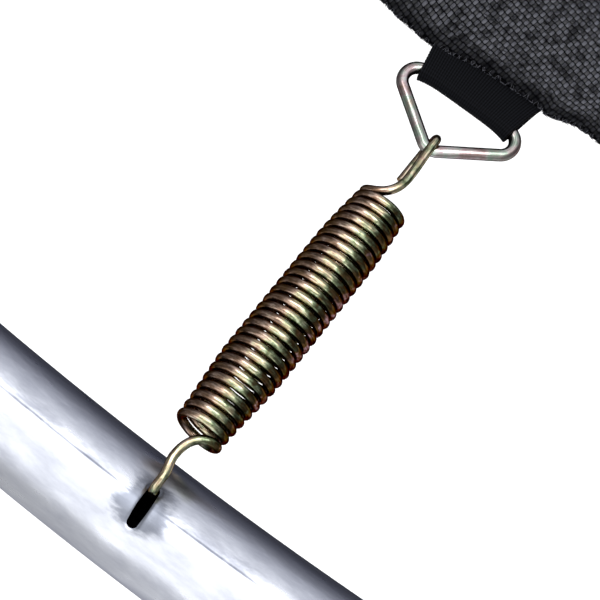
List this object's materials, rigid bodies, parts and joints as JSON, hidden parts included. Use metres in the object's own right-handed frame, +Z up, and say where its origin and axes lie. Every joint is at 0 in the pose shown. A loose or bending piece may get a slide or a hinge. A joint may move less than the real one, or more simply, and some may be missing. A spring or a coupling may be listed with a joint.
{
  "type": "trampoline spring station",
  "caption": "One spring station of a round trampoline: slotted frame tube section, hooked extension spring, triangular ring and a webbing tab on the hem of a woven mat",
  "frame": {"origin": "on the surface that the station lies on, under the middle of its bounding box", "axes": "+X along the frame tube at the slot, +Y from the tube to the mat, +Z up"},
  "size_m": [0.1708, 0.2941, 0.0443],
  "materials": {
    "galvanised_steel": "satin, mottled galvanised",
    "yellow_zinc": "bright zinc with iridescent yellow chromate",
    "clear_zinc": "bright zinc with faint pink and green chromate",
    "black_webbing": "ribbed polyester webbing",
    "woven_mat": "woven polypropylene tape cloth",
    "black_thread": "bonded sewing thread"
  },
  "bodies": {
    "frame": {"frame_tube": "galvanised_steel"},
    "spring_frame_end": {"spring_frame_hook": "yellow_zinc", "spring_coil": "yellow_zinc"},
    "spring_mat_end": {"spring_mat_hook": "yellow_zinc"},
    "ring": {"v_ring": "clear_zinc"},
    "mat": {"webbing_tab": "black_webbing", "edge_webbing": "black_webbing", "mat_panel": "woven_mat", "hem_stitch_row_1": "black_thread", "hem_stitch_row_2": "black_thread", "tab_stitch_row_1": "black_thread", "tab_stitch_row_2": "black_thread", "tab_stitch_row_3": "black_thread"}
  },
  "joints": [
    {"name": "frame_hook_swing", "type": "hinge", "parent": "frame", "child": "spring_frame_end", "pos_m": [0, -0.11264, 0.03775], "axis": [1, 0, 0], "range_deg": [-25, 22]},
    {"name": "spring_stretch", "type": "slide", "parent": "spring_frame_end", "child": "spring_mat_end", "axis": [0, 0.9799, -0.1994], "range_m": [-0.0155, 0.06], "stiffness_N_per_m": 4800, "deforming": ["spring_coil"]},
    {"name": "ring_swing", "type": "hinge", "parent": "spring_mat_end", "child": "ring", "pos_m": [0, 0.0356, 0.00922], "axis": [1, 0, 0], "range_deg": [-60, 60]},
    {"name": "mat_hinge", "type": "hinge", "parent": "ring", "child": "mat", "pos_m": [0, 0.05931, 0.00439], "axis": [1, 0, 0], "range_deg": [-60, 60]}
  ]
}
